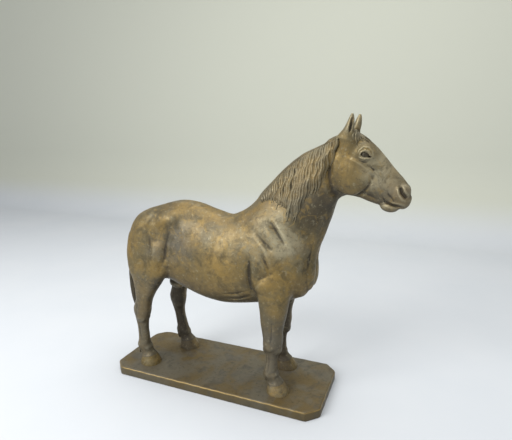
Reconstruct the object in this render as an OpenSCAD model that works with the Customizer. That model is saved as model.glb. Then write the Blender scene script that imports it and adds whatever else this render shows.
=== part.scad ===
// Bronze draft horse on a clipped-corner plinth, cast in sections that sleeve into each other.
// Frame: +X to the nose, +Y to the horse's left, +Z up, origin under the middle of the plinth, on the table.

/* [Base] */
// Length of the plinth
base_l = 350; // [346:1:370]
// Width of the plinth
base_w = 140; // [132:1:160]
// Height of the plinth
base_t = 14; // [13:0.5:18]
// Length cut off each corner, along each side
corner_clip = 17; // [8:1:24]
// Thickness of the plinth's top plate
plate_t = 5; // [4:0.5:6]
// Thickness of the plinth's rim
rim_t = 8; // [6:0.5:10]
// Width of the cross rib under the plate
rib_w = 8; // [6:1:12]

/* [Horse] */
// Height of the withers above the plinth
withers_h = 285; // [280:1:290]
// Wall of the hollow castings
wall = 4; // [3:0.5:5]
// How far a sleeve reaches into the next casting
sleeve = 9; // [7:1:11]
// Gap between a sleeve and its seat
sleeve_gap = 0.2; // [0.1:0.05:0.4]

/* [Fasteners] */
// Radius of the studs under the hooves
stud_r = 2.5; // [2:0.25:3]
// How far a stud goes up, through the hoof and into the leg
stud_depth = 24; // [20:1:25]
// Thickness of a washer
washer_t = 1; // [0.8:0.1:1.5]
// Height of a nut
nut_h = 4; // [3:0.5:4.5]
// Radius of the pins that lock the sleeves
pin_r = 1.5; // [1:0.1:1.6]

/* [Hidden] */

bronze = [0.42, 0.31, 0.15];
dark_bronze = [0.16, 0.12, 0.08];
hair_bronze = [0.36, 0.27, 0.14];
brass = [0.72, 0.58, 0.28];
big = 600;           // larger than the whole horse
eps = 0.05;          // overshoot of a cut past a face
k = withers_h / 285; // the horse's size against the tables below

// Every table lists cross-sections of a casting, each through two opposite points of its side view:
// [upper or front x, z, lower or back x, z, half width, middle y], in mm above the plinth.
TRUNK = [
    [-160, 209, -160, 180, 16, 0], [-152, 230, -152, 160, 30, 0], [-135, 247, -135, 146, 39, 0],
    [-110, 260, -110, 142, 42, 0], [-85, 268, -85, 146, 41, 0], [-60, 272, -60, 134, 40, 0],
    [-35, 269, -35, 125, 43, 0], [-10, 261, -10, 121, 47, 0], [15, 255, 15, 120, 49, 0],
    [40, 259, 40, 124, 47, 0], [65, 262, 65, 128, 44, 0], [90, 254, 90, 132, 42, 0],
    [112, 240, 112, 137, 39, 0], [130, 222, 130, 146, 33, 0], [141, 206, 141, 158, 22, 0],
    [146, 192, 146, 174, 9, 0]];
NECK_ROOT = [[20, 240, 132, 170, 42, 0], [40, 262, 143, 187, 41, 0], [54, 276, 149, 206, 37, 0]];
NECK = [
    [54, 276, 149, 206, 37, 0], [74.5, 296, 154, 229, 30, 0], [97.5, 320, 160, 248, 24, 0],
    [122, 339.5, 165, 264, 19, 0], [142.5, 349, 168, 276, 17, 0], [156.5, 356, 170, 285, 15, 0]];
HEAD = [
    [156.5, 356, 170, 285, 15, 0], [176, 367, 178, 288, 17, 0], [195, 364, 190, 289, 19.5, 0],
    [213, 349, 204, 286, 16.5, 0], [228, 332, 216, 280, 12.5, 0], [240, 320, 226, 276, 11.5, 0],
    [250, 310, 235, 271, 12.5, 0], [257, 301, 246, 274, 10, 0], [259, 290, 255, 281, 5, 0]];
TAIL = [
    [-147, 224, -156, 231, 6, 0], [-155, 204, -166, 206, 8, 0], [-163, 176, -172, 177, 9, 0],
    [-163, 146, -176.5, 146, 10, 0], [-162, 116, -176.5, 116, 9, 0], [-163, 92, -173, 92, 6, 0],
    [-166, 80, -170, 80, 2, 0]];
FORELEG = [
    [113, 114, 76, 114, 13.5, 0], [111.5, 98, 79, 98, 12, 0], [110, 84, 81, 84, 12, 0],
    [107.5, 74, 82.5, 74, 11, 0], [104.5, 62, 85, 62, 8, 0], [103, 46, 86.5, 46, 7, 0],
    [103.5, 34, 85, 34, 8.5, 0], [104, 28, 84, 26, 9.5, 0], [109, 22, 89, 18, 9, 0],
    [115, 16, 91, 12, 12, 0], [121, 0, 90, 0, 14.5, 0]];
HINDLEG_RIGHT = [
    [-110, 114, -137, 114, 11.5, 0], [-114.5, 94, -141.5, 94, 11, 0], [-119.5, 78, -141, 78, 9, 0],
    [-121.5, 62, -140, 62, 7.5, 0], [-121.5, 42, -140, 42, 7.5, 0], [-121, 32, -143, 30, 10, 0],
    [-116, 24, -137, 20, 9, 0], [-110, 16, -134, 12, 12, 0], [-106, 0, -136, 0, 14, 0]];
HINDLEG_LEFT = [
    [-89, 114, -116, 114, 11.5, 0], [-94, 94, -121, 94, 11, 0], [-96, 78, -117.5, 78, 9, 0],
    [-95, 62, -113.5, 62, 7.5, 0], [-91.5, 42, -110, 42, 7.5, 0], [-90, 32, -112, 30, 10, 0],
    [-85, 24, -106, 20, 9, 0], [-78, 16, -102, 12, 12, 0], [-74, 0, -104, 0, 14, 0]];
// The muscle of each quarter, from inside the barrel down to the leg joint:
// [height, middle x, half length, middle y, half width], with y out from the midline.
SHOULDER = [
    [240, 80, 18, 18, 10], [222, 88, 30, 24, 16], [196, 98, 38, 27, 18], [168, 98, 34, 30, 18],
    [146, 94, 27, 32, 16.5], [130, 94.5, 21, 33.5, 15], [114, 94.5, 18.5, 34, 13.5]];
HAUNCH = [
    [234, -104, 26, 16, 13], [212, -113, 37, 21, 20], [188, -117, 42, 25, 20], [162, -113, 38, 28, 18],
    [140, -112, 26, 33, 15], [114, -123.5, 13.5, 36, 11.5]];

leg_joint = 114;           // height of the joints between the trunk and the legs
fore_y = [-34, 37];        // middle of the right and the left foreleg
hind_y = [-36, 37];        // middle of the right and the left hind leg
fore_back = [0, -9];       // how far each foreleg stands from the right one
hind_step = [0, 21];       // how far each hind thigh's foot is stepped forward
eye_at = [202, 13, 342];
eye_r = 5;
ear_foot = [180, 10, 368];
ear_tip = [186, 12.5, 389];
ear_r = 6.5;

// Where each stud stands: right fore, left fore, right hind, left hind.
STUDS = [[100, fore_y[0]], [100 + fore_back[1], fore_y[1]], [-124.5, hind_y[0]], [-93.5, hind_y[1]]];

washer_r = stud_r * 2;
nut_r = stud_r * 1.85;
hole_r = stud_r + 0.3;
recess_h = base_t - plate_t;
below_plate = washer_t + nut_h + 1; // stud length under the plate

// ---------- cross-sections and lofts ----------

function mid(s) = [s[0] + s[2], 2 * s[5], s[1] + s[3]] / 2;
function up(s) = [s[0] - s[2], 0, s[1] - s[3]] / 2;

// The ring of points of section s, its outline taken in by inset and its middle moved by shift.
function ring(s, n, inset = 0, shift = [0, 0, 0]) =
    let (u = up(s), h = norm(u), c = mid(s) + shift)
    [for (i = [0:n - 1])
        let (a = 360 * i / n) c + u * (1 - inset / h) * cos(a) + [0, (s[4] - inset) * sin(a), 0]];

function rings(table, n, inset = 0, shift = [0, 0, 0]) = [for (s = table) ring(s, n, inset, shift)];

// Two triangles for each gap between ring i and the next, all round.
function side_faces(count, n) = [
    for (i = [0:count - 2], j = [0:n - 1])
        let (a = i * n + j, b = i * n + (j + 1) % n)
        each [[a, b, b + n], [a, b + n, a + n]]];

function fan(first, n, turn) = [
    for (j = [1:n - 2]) turn ? [first, first + j + 1, first + j] : [first, first + j, first + j + 1]];

// A closed solid through a list of rings with n points each.
module skin(list, n, flip = false) {
    points = [for (r = list) each r];
    faces = concat(side_faces(len(list), n), fan(0, n, true), fan((len(list) - 1) * n, n, false));
    polyhedron(points, flip ? [for (f = faces) [f[0], f[2], f[1]]] : faces, convexity = 8);
}

// A tube wall between outer and inner rings, open at both ends.
module pipe(outer, inner, n) {
    loop = concat(outer, [for (i = [len(inner) - 1:-1:0]) inner[i]]);
    count = len(loop);
    points = [for (r = loop) each r];
    closing = [
        for (j = [0:n - 1])
            let (a = (count - 1) * n + j, b = (count - 1) * n + (j + 1) % n, c = j, d = (j + 1) % n)
            each [[a, b, d], [a, d, c]]];
    polyhedron(points, concat(side_faces(count, n), closing), convexity = 8);
}

module on_plinth() {
    translate([0, 0, base_t]) scale(k) children();
}

// A flat slice of a muscle table row, thin enough to hull with the next one.
module slice(row, side, inset) {
    translate([row[1], side * row[3], row[0]])
        scale([row[2] - inset, row[4] - inset, 1])
        linear_extrude(0.1, center = true) circle(1, $fn = 20);
}

// A muscle from its table, on one side (-1 right, 1 left), its foot moved by step.
module muscle(table, side, foot_y, step, inset = 0) {
    last = len(table) - 1;
    foot = [table[last][0], table[last][1] + step, table[last][2], foot_y, table[last][4]];
    rows = [for (i = [0:last]) i == last ? foot : table[i] + [0, step * i / last, 0, 0, 0]];
    // The hollow starts one row lower, so that the top stays closed.
    for (i = [inset > 0 ? 1 : 0:last - 1]) hull() {
        slice(rows[i], side, inset);
        slice(rows[i + 1], side, inset);
    }
}

module muscles(inset = 0) {
    for (s = [0, 1]) {
        side = s * 2 - 1;
        muscle(SHOULDER, side, abs(fore_y[s]), fore_back[s], inset);
        muscle(HAUNCH, side, abs(hind_y[s]), hind_step[s], inset);
    }
}

// ---------- the castings ----------

module trunk_outside() {
    skin(rings(TRUNK, 20), 20);
    skin(rings(NECK_ROOT, 20), 20);
    muscles();
}

// A slab that takes away all past a section's plane, on its upper side.
module past(s) {
    u = up(s);
    translate(mid(s)) rotate([0, -atan2(-u[0], u[2]), 0]) translate([0, -big / 2, -big / 2]) cube(big);
}

module cavity() {
    skin(rings([for (i = [1:len(TRUNK) - 2]) TRUNK[i]], 20, wall), 20);
    skin([ring(NECK_ROOT[0], 20, wall), ring(NECK_ROOT[1], 20, wall), ring(NECK_ROOT[2], 20, wall),
          ring(NECK_ROOT[2], 20, wall, [eps, 0, eps])], 20);
    muscles(wall);
    for (s = [0, 1]) {
        leg_seat(FORELEG[0] + [fore_back[s], 0, fore_back[s], 0, 0, fore_y[s]]);
        leg_seat((s == 0 ? HINDLEG_RIGHT[0] : HINDLEG_LEFT[0]) + [0, 0, 0, 0, 0, hind_y[s]]);
    }
}

// The mouth that a leg's sleeve enters.
module leg_seat(s) {
    skin([ring(s, 20, wall, [0, 0, -1]), ring(s, 20, wall, [0, 0, sleeve + 1])], 20, true);
}

module trunk() {
    color(bronze) on_plinth() difference() {
        trunk_outside();
        past(NECK[0]);
        cavity();
        section_pin_set(pin_r + 0.1, 16);
        tail_peg(peg_r + 0.2, 6);
    }
}

// How far the sleeve moves along the casting's own axis, from one section's plane.
function along(s, d) = let (u = up(s), h = norm(u)) [u[2], 0, -u[0]] / h * d;

module neck() {
    inner = wall;
    collar = wall + sleeve_gap;
    first = NECK[0];
    last = NECK[len(NECK) - 1];
    outer = concat(
        [ring(first, 20, collar, -along(first, sleeve)), ring(first, 20, collar)],
        rings(NECK, 20),
        [ring(last, 20, collar), ring(last, 20, collar, along(last, sleeve))]);
    hollow = concat(
        [ring(first, 20, collar + 3, -along(first, sleeve))],
        rings(NECK, 20, inner + 3.2),
        [ring(last, 20, collar + 3, along(last, sleeve))]);
    color(bronze) on_plinth() difference() {
        pipe(outer, hollow, 20);
        section_pin_set(pin_r, 24);
    }
}

module head_outside() {
    skin(rings(HEAD, 20), 20);
}

module head() {
    n = 20;
    last = len(HEAD) - 1;
    hollow = concat(
        [ring(HEAD[0], n, wall, -along(HEAD[0], eps))],
        [for (i = [0:last - 3]) ring(HEAD[i], n, wall)]);
    color(bronze) on_plinth() difference() {
        head_outside();
        skin(hollow, n);
        for (side = [-1, 1]) {
            translate(sided(eye_at, side)) sphere(eye_r + 0.02, $fn = 48);
            translate(sided(ear_foot, side)) sphere(ear_r + 0.05, $fn = 48);
        }
    }
}

function sided(p, side) = [p[0], side * p[1], p[2]];

module ear(side) {
    foot = sided(ear_foot, side);
    tip = sided(ear_tip, side);
    color(bronze) on_plinth() difference() {
        hull() {
            translate(foot) sphere(ear_r, $fn = 20);
            translate(foot + [1, side * 2.5, 9]) sphere(ear_r * 0.75, $fn = 20);
            translate(tip - [0, 0, 1.2]) sphere(1.2, $fn = 16);
        }
        // The hollow of the ear opens outwards and forwards.
        hull() {
            translate(foot + [5, side * 4.5, 8]) sphere(2.4, $fn = 16);
            translate(tip + [2.5, side * 2, -6]) sphere(1, $fn = 16);
        }
    }
}

module eye(side) {
    color(dark_bronze) on_plinth() translate(sided(eye_at, side)) sphere(eye_r, $fn = 48);
}

// ---------- the hair ----------

// A chain of balls from a list of [point, radius], each hulled with the next.
module lock(list) {
    for (i = [0:len(list) - 2]) hull() {
        translate(list[i][0]) sphere(list[i][1], $fn = 10);
        translate(list[i + 1][0]) sphere(list[i + 1][1], $fn = 10);
    }
}

// The surface point of the neck's right side, between two sections, at an angle down from the crest.
function neck_skin(t, a) =
    let (i = min(floor(t), len(NECK) - 2), s = NECK[i] * (1 - t + i) + NECK[i + 1] * (t - i))
    mid(s) + up(s) * cos(a) - [0, s[4] * sin(a), 0];

mane_locks = 14;
function mane_reach(i) = 66 + 30 * sin(180 * i / (mane_locks - 1)); // how far round the neck lock i hangs

module mane() {
    color(hair_bronze) on_plinth() difference() {
        for (i = [0:mane_locks - 1]) {
            t = 0.1 + i * (len(NECK) - 1.25) / (mane_locks - 1);
            reach = mane_reach(i);
            lock([for (j = [0:4]) [neck_skin(max(0, t - 0.12 * j), reach * j / 4), 6 - 0.8 * j]]);
        }
        neck_solid();
        head_outside();
        trunk_outside();
    }
}

module neck_solid() {
    skin(rings(NECK, 20), 20);
}

module forelock() {
    color(hair_bronze) on_plinth() difference() {
        for (y = [-3, 0, 3])
            lock([[[180, y, 370], 3.4], [[188, y * 1.2, 369.5], 3], [[196, y, 364], 2.6], [[203, y * 0.6, 358], 1.2]]);
        head_outside();
        for (side = [-1, 1]) translate(sided(ear_foot, side)) sphere(ear_r + 4, $fn = 20);
    }
}

peg_r = 4;
// The tail's peg, through the rear wall of the trunk.
module tail_peg(r, over) {
    translate([-162, 0, 205]) rotate([0, 90, 0]) cylinder(h = 14 + over, r = r, $fn = 24);
}

module tail() {
    color(hair_bronze) on_plinth() {
        difference() {
            skin(rings(TAIL, 16), 16);
            trunk_outside();
        }
        tail_peg(peg_r, 0);
    }
}

// ---------- the legs ----------

// The leg's rows down to its coronet, then the hoof's from the coronet to the sole.
function leg_rows(table) = [for (i = [0:len(table) - 2]) table[i]];
function hoof_rows(table) = [for (i = [len(table) - 2:len(table) - 1]) table[i]];

// The hole for stud number i, from below.
module stud_hole(i) {
    translate([STUDS[i][0], STUDS[i][1], -1]) cylinder(h = stud_depth + 1.5, r = stud_r + 0.05, $fn = 48);
}

module leg(table, y, dx, i) {
    n = 16;
    shift = [dx, y, 0];
    collar = wall + sleeve_gap;
    sleeve_rings = [
        ring(table[0], n, collar, shift + [0, 0, sleeve]),
        ring(table[0], n, collar, shift)];
    color(bronze) on_plinth() difference() {
        skin(concat(sleeve_rings, rings(leg_rows(table), n, 0, shift)), n);
        stud_hole(i);
        section_pin_set(pin_r, 24);
    }
}

module hoof(table, y, dx, i) {
    color(bronze) on_plinth() difference() {
        skin(rings(hoof_rows(table), 16, 0, [dx, y, 0]), 16);
        stud_hole(i);
    }
}

// ---------- the plinth and its fasteners ----------

module plinth_outline(inset) {
    x = base_l / 2 - inset;
    y = base_w / 2 - inset;
    c = corner_clip - inset * (2 - sqrt(2));
    polygon([[-x, -y + c], [-x + c, -y], [x - c, -y], [x, -y + c], [x, y - c], [x - c, y], [-x + c, y], [-x, y - c]]);
}

module base_plate() {
    color(bronze) difference() {
        linear_extrude(base_t) plinth_outline(0);
        difference() {
            translate([0, 0, -1]) linear_extrude(recess_h + 1) plinth_outline(rim_t);
            translate([-rib_w / 2, -base_w / 2, -2]) cube([rib_w, base_w, base_t]);
        }
        at_studs() translate([0, 0, -1]) cylinder(h = base_t + 2, r = hole_r, $fn = 48);
    }
}

module at_studs() {
    for (p = STUDS) translate([k * p[0], k * p[1], 0]) children();
}

module mounting_studs() {
    color(brass) at_studs() translate([0, 0, recess_h - below_plate])
        cylinder(h = below_plate + plate_t + stud_depth * k, r = stud_r, $fn = 48);
}

module stud_washers() {
    color(brass) at_studs() translate([0, 0, recess_h - washer_t]) difference() {
        cylinder(h = washer_t, r = washer_r, $fn = 48);
        translate([0, 0, -1]) cylinder(h = washer_t + 2, r = hole_r, $fn = 48);
    }
}

module stud_nuts() {
    color(brass) at_studs() translate([0, 0, recess_h - washer_t - nut_h]) difference() {
        cylinder(h = nut_h, r = nut_r, $fn = 6);
        translate([0, 0, -1]) cylinder(h = nut_h + 2, r = stud_r + 0.05, $fn = 48);
    }
}

// The pins go straight in from the side, through the wall and into the sleeve behind it:
// [x, y of the outer end, z, side].
pin_len = 9;
PIN_PLACES = [
    [94.5, fore_y[0] - 13, leg_joint + 4, -1], [94.5 + fore_back[1], fore_y[1] + 13, leg_joint + 4, 1],
    [-123.5, hind_y[0] - 11, leg_joint + 4, -1], [-102.5, hind_y[1] + 11, leg_joint + 4, 1],
    [98.8, -36.5, 237.4, -1], [98.8, 36.5, 237.4, 1], [167.4, -15, 323.3, -1], [167.4, 15, 323.3, 1]];

module section_pin_set(r, sides) {
    for (p = PIN_PLACES)
        translate([p[0], p[1], p[2]]) rotate([-90 * p[3], 0, 0]) translate([0, 0, -pin_len])
            cylinder(h = pin_len + (r > pin_r ? 6 : 0), r = r, $fn = sides);
}

module section_pins() {
    color(bronze) on_plinth() section_pin_set(pin_r - 0.03, 24);
}

base_plate();
trunk();
neck();
head();
ear(1);  // ear_left
ear(-1);  // ear_right
eye(1);  // eye_left
eye(-1);  // eye_right
mane();
forelock();
tail();
leg(FORELEG, fore_y[0], fore_back[0], 0);  // foreleg_right
leg(FORELEG, fore_y[1], fore_back[1], 1);  // foreleg_left
leg(HINDLEG_RIGHT, hind_y[0], 0, 2);  // hindleg_right
leg(HINDLEG_LEFT, hind_y[1], 0, 3);  // hindleg_left
hoof(FORELEG, fore_y[0], fore_back[0], 0);  // hoof_front_right
hoof(FORELEG, fore_y[1], fore_back[1], 1);  // hoof_front_left
hoof(HINDLEG_RIGHT, hind_y[0], 0, 2);  // hoof_hind_right
hoof(HINDLEG_LEFT, hind_y[1], 0, 3);  // hoof_hind_left
mounting_studs();
stud_washers();
stud_nuts();
section_pins();
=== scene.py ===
import math

import bmesh
import bpy
import numpy as np
from bpy.props import FloatProperty, FloatVectorProperty, IntProperty, PointerProperty
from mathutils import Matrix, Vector


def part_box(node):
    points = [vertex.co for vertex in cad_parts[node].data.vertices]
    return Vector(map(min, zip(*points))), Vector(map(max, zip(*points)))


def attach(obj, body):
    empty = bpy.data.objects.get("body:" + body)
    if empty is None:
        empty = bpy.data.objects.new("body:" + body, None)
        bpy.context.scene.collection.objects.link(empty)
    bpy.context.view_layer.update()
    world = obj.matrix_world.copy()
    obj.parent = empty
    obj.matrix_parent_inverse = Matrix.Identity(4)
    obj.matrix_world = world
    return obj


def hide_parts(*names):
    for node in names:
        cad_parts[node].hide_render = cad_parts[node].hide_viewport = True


bl_info = {
    "name": "Bronze draft horse",
    "version": (1, 0, 0),
    "blender": (4, 5, 0),
    "location": "3D View > Sidebar > Bronze Horse",
    "description": "Models a cast bronze horse on its plinth around the packed castings",
    "category": "Object",
}

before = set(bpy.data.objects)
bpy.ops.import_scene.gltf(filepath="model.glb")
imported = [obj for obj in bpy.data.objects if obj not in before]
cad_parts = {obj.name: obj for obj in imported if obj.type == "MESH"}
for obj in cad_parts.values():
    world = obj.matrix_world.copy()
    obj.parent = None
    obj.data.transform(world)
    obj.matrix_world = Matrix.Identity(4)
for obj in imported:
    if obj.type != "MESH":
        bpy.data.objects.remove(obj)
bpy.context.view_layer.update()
MM = 0.001
FAR = 60.0  # mm, the distance held where a block of clay is empty

# All sizes below are in mm, in the frame of the castings: +X to the nose, +Y to the horse's left, +Z up.
# A loft row is (upper or front x, z, lower or back x, z, half width, y of its middle).
TRUNK_ROWS = [
    (-157, 215, -157, 202, 6, 0), (-155.5, 222, -155.5, 194, 12, 0), (-152, 229, -152, 186, 19, 0),
    (-147, 236, -147, 176, 26.5, 0), (-139, 246, -139, 168, 33, 0),
    (-126, 259.5, -126, 160, 39.5, 0), (-109, 272, -109, 156, 42.5, 0), (-85, 282, -85, 157, 41, 0),
    (-60, 286, -60, 147, 40.5, 0), (-35, 283, -35, 139.5, 43.5, 0), (-10, 275.5, -10, 135, 47, 0),
    (15, 269.5, 15, 134, 48.5, 0), (40, 272, 40, 137, 46.5, 0), (65, 276, 65, 141, 42, 0),
    (90, 268, 90, 146, 38, 0), (112, 254, 112, 151, 34, 0), (130, 236, 130, 160, 28, 0),
    (136, 226, 136, 168, 23, 0), (140, 215, 140, 178, 15, 0)]
NECK_ROWS = [
    (20, 254, 130, 182, 40, 0), (40, 275, 140, 200, 38.5, 0), (54, 289, 146.5, 220, 34.5, 0),
    (74, 310, 154, 243, 28.5, 0), (97, 334, 160, 262, 23.5, 0), (121, 353.5, 165, 278, 19.5, 0),
    (141.5, 363.5, 168, 290, 17, 0), (158, 371, 171, 299, 15, 0), (172, 376, 176, 304, 14, 0)]
HEAD_ROWS = [
    (158, 373, 170, 301, 13, 0), (172, 381, 177, 305, 15, 0), (188, 380.5, 188, 304.5, 16, 0),
    (202, 374.5, 198, 303, 16, 0), (216, 363, 207, 300, 13.5, 0), (229, 349, 217, 296.5, 11, 0),
    (241, 336, 227, 294, 10, 0), (250, 327, 237, 292, 10.5, 0), (256.5, 318, 246, 293, 10, 0),
    (258.5, 308, 253, 297, 7, 0)]
FORELEG_ROWS = [
    (122, 208, 68, 210, 12, 27), (123, 184, 67, 186, 14.5, 30), (119.5, 164, 72, 164, 15, 32),
    (117, 146, 75.5, 146, 14.5, 33), (113.5, 128, 77.5, 128, 13, 34), (111, 113, 79.5, 113, 11.6, 34),
    (111, 101, 81.5, 100, 12.2, 34), (109.5, 89, 82, 88, 11.6, 34), (105.5, 77, 85, 76, 8.6, 34),
    (103.5, 63, 86.5, 62, 7.4, 34), (103.5, 51, 84.5, 50, 8.8, 34), (104, 43, 83.5, 40.5, 10, 34),
    (108, 36.5, 88.5, 32, 9.2, 34), (113.5, 30, 91, 26, 11.4, 34), (117.5, 22, 90.5, 20, 13.4, 34),
    (121, 14, 90, 14, 14.8, 34), (123, 8, 90, 8, 15.2, 34)]
HINDLEG_ROWS = [
    (-82, 226, -145, 230, 11, 26), (-76, 200, -150, 203, 16.5, 30), (-79, 178, -147, 180, 17, 33.5),
    (-89, 160, -140, 163, 15, 35), (-100, 144, -137, 146, 13, 36), (-109, 129, -137, 130, 11.6, 36),
    (-113, 117, -140.5, 120, 11, 36), (-114.5, 107, -143.5, 111, 11.3, 36), (-117.5, 97, -142, 98, 9.8, 36),
    (-120.5, 88, -140.5, 87, 8.4, 36), (-121.5, 75, -139.5, 75, 7.6, 36), (-121, 58, -140, 56, 7.8, 36),
    (-120.5, 48, -142.5, 45, 9.9, 36), (-117, 38, -138, 33.5, 9.1, 36), (-110.5, 30, -134.5, 26, 11.4, 36),
    (-107.5, 22, -135.5, 20, 13, 36), (-106, 14, -136, 14, 14.3, 36), (-105, 8, -136, 8, 14.6, 36)]
TAIL_ROWS = [
    (-133, 236, -143, 244, 4, 0), (-146, 222, -160.5, 226, 8.5, 0), (-152, 202, -167, 204, 10, 0),
    (-157, 176, -172.5, 177, 10.5, 0), (-161, 148, -176, 148, 10.5, 0), (-162.5, 120, -176, 120, 8.5, 0),
    (-164, 102, -173.5, 102, 5.5, 0), (-167, 92, -170.5, 92, 2, 0)]
EAR_ROWS = [
    (189, 374, 168, 376, 7, 9.5), (187.2, 383, 172, 382.5, 6.4, 11), (186.6, 391, 176.8, 390, 5, 12),
    (186.2, 398, 179.8, 397.5, 3.4, 12.4), (185.2, 402, 182, 402, 1.8, 12.6)]

PLINTH_TOP = 14.0
PLINTH_CLIP = 17.0      # how far a clipped corner runs back along each side
CORNER_ROUND = 3.0      # rounding where a clipped corner meets a side
WORN_ROUND = 9.0        # and at the corner behind the left hind foot, which is worn rounder
EDGE_STEPS = (34, 3, 86, 3)     # steps along an end, a clip, a long side and a clip
TRAY_WALL, TRAY_ROOF = 8.0, 9.0
RIB_HALF = 4.0
STUD_HOLE = 2.8
LEG_CUT = 128.0
EAR_CUT = 382.5
EYE_RADIUS = 6.6
EYE_MIDDLE = (202.2, 12.0, 355.4)
PUPIL_EDGE, PUPIL_DEPTH = 0.93, 0.07    # cosine of its angle from the line of sight, and share of the radius
NECK_CUT = ((54, 290), (149, 220))      # side-view line between the trunk and the neck
HEAD_CUT = ((156.5, 370), (170, 299))   # side-view line between the neck and the head


def stepped(rows, steps):
    """Rows with a shift in x that changes with height: steps is (z, dx) pairs, from the top down."""
    levels = [z for z, _ in reversed(steps)]
    shifts = [dx for _, dx in reversed(steps)]
    out = []
    for x1, z1, x2, z2, w, y in rows:
        dx = np.interp((z1 + z2) / 2, levels, shifts)
        out.append((x1 + dx, z1, x2 + dx, z2, w, y))
    return out


LEFT_FORELEG_ROWS = [row[:5] + (row[5] + 3 * (row[5] == 34),) for row in stepped(
    FORELEG_ROWS, [(210, 0), (164, -4), (128, -9), (8, -9)])]
LEFT_HINDLEG_ROWS = stepped(
    HINDLEG_ROWS, [(222, 2), (180, 10), (129, 20.5), (98, 23), (75, 26), (47, 30.5), (26, 32), (8, 32)])
LEFT_EAR_ROWS = stepped(EAR_ROWS, [(403, 5.4), (390, 5.0), (374, 2.0)])


# ---------- clay: shapes held as distances on a grid ----------

def smooth_min(a, b, blend):
    """The lower of two distances, with the crease between them filled over `blend` mm."""
    h = np.maximum(blend - np.abs(a - b), 0) / blend
    return np.minimum(a, b) - h * h * (blend * 0.25)


def through(points, fine):
    """Points on a smooth curve through the rows of an array, with `fine` steps between neighbours."""
    p = np.asarray(points, float)
    ends = np.concatenate([[2 * p[0] - p[1]], p, [2 * p[-1] - p[-2]]])
    t = (np.arange(fine) / fine)[:, None]
    out = []
    for i in range(len(p) - 1):
        a, b, c, d = ends[i:i + 4]
        out.append(0.5 * (2 * b + (c - a) * t + (2 * a - 5 * b + 4 * c - d) * t**2
                          + (3 * b - 3 * c + d - a) * t**3))
    return np.concatenate(out + [p[-1:]])


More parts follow.
